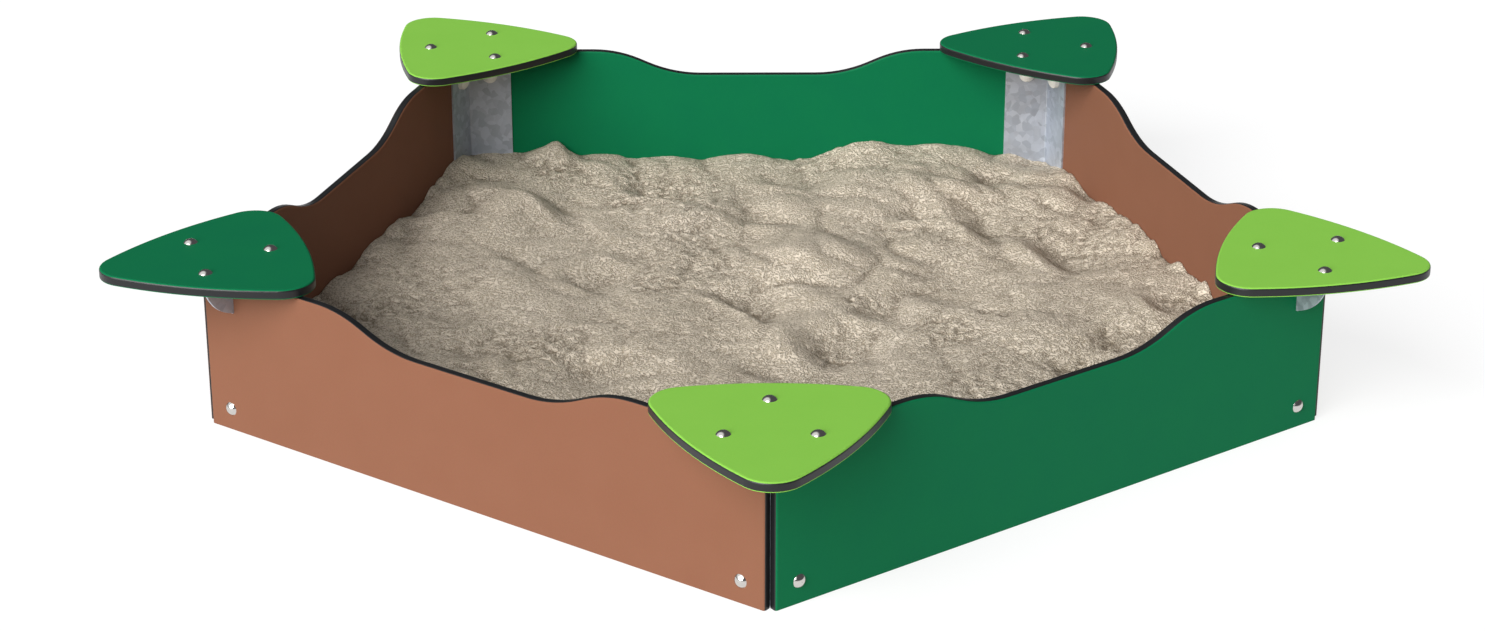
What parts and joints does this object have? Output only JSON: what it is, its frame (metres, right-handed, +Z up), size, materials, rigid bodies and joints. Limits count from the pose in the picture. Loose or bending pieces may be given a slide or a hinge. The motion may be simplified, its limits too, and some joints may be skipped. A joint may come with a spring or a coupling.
{
  "type": "sandbox",
  "caption": "Low pentagonal sandbox of wavy-topped boards, with a rounded triangular seat on each corner, steel corner brackets and a bed of sand.",
  "frame": {"origin": "middle of the pentagon of boards, at ground level, on the underside of the sand", "axes": "+Z up; one corner with its seat points to -Y; the back board is square to +Y; +X to the right when looking along +Y"},
  "size_m": [2.5664, 2.447, 0.357],
  "materials": {
    "board_brown": "fine-grained satin polyethylene sheet, terracotta brown skins on a black core",
    "board_green": "fine-grained satin polyethylene sheet, dark green skins on a black core",
    "seat_light_green": "fine-grained satin polyethylene sheet, light green skins on a black core",
    "seat_dark_green": "fine-grained satin polyethylene sheet, dark green skins on a black core",
    "galvanised_steel": "hot-dip galvanised, spangled grey zinc",
    "polished_stainless_bolts": "polished stainless steel",
    "zinc_plated_nuts": "satin zinc plating",
    "nut_cap_plastic": "moulded off-white polyethylene",
    "sand": "loose washed play sand, pale beige"
  },
  "bodies": {
    "root": {"board_front_right": "board_green", "board_back_right": "board_brown", "board_back": "board_green", "board_back_left": "board_brown", "board_front_left": "board_brown", "seat_front": "seat_light_green", "seat_right": "seat_light_green", "seat_back_right": "seat_dark_green", "seat_back_left": "seat_light_green", "seat_left": "seat_dark_green", "corner_angle_front": "galvanised_steel", "seat_bracket_front_right_hand": "galvanised_steel", "seat_bracket_front_left_hand": "galvanised_steel", "seat_bolts_front": "polished_stainless_bolts", "board_bolts_front": "polished_stainless_bolts", "seat_nuts_front": "zinc_plated_nuts", "board_nuts_front": "zinc_plated_nuts", "washers_front": "zinc_plated_nuts", "nut_caps_front": "nut_cap_plastic", "corner_angle_right": "galvanised_steel", "seat_bracket_right_right_hand": "galvanised_steel", "seat_bracket_right_left_hand": "galvanised_steel", "seat_bolts_right": "polished_stainless_bolts", "board_bolts_right": "polished_stainless_bolts", "seat_nuts_right": "zinc_plated_nuts", "board_nuts_right": "zinc_plated_nuts", "washers_right": "zinc_plated_nuts", "nut_caps_right": "nut_cap_plastic", "corner_angle_back_right": "galvanised_steel", "seat_bracket_back_right_right_hand": "galvanised_steel", "seat_bracket_back_right_left_hand": "galvanised_steel", "seat_bolts_back_right": "polished_stainless_bolts", "board_bolts_back_right": "polished_stainless_bolts", "seat_nuts_back_right": "zinc_plated_nuts", "board_nuts_back_right": "zinc_plated_nuts", "washers_back_right": "zinc_plated_nuts", "nut_caps_back_right": "nut_cap_plastic", "corner_angle_back_left": "galvanised_steel", "seat_bracket_back_left_right_hand": "galvanised_steel", "seat_bracket_back_left_left_hand": "galvanised_steel", "seat_bolts_back_left": "polished_stainless_bolts", "board_bolts_back_left": "polished_stainless_bolts", "seat_nuts_back_left": "zinc_plated_nuts", "board_nuts_back_left": "zinc_plated_nuts", "washers_back_left": "zinc_plated_nuts", "nut_caps_back_left": "nut_cap_plastic", "corner_angle_left": "galvanised_steel", "seat_bracket_left_right_hand": "galvanised_steel", "seat_bracket_left_left_hand": "galvanised_steel", "seat_bolts_left": "polished_stainless_bolts", "board_bolts_left": "polished_stainless_bolts", "seat_nuts_left": "zinc_plated_nuts", "board_nuts_left": "zinc_plated_nuts", "washers_left": "zinc_plated_nuts", "nut_caps_left": "nut_cap_plastic", "sand_fill": "sand"}
  },
  "joints": []
}
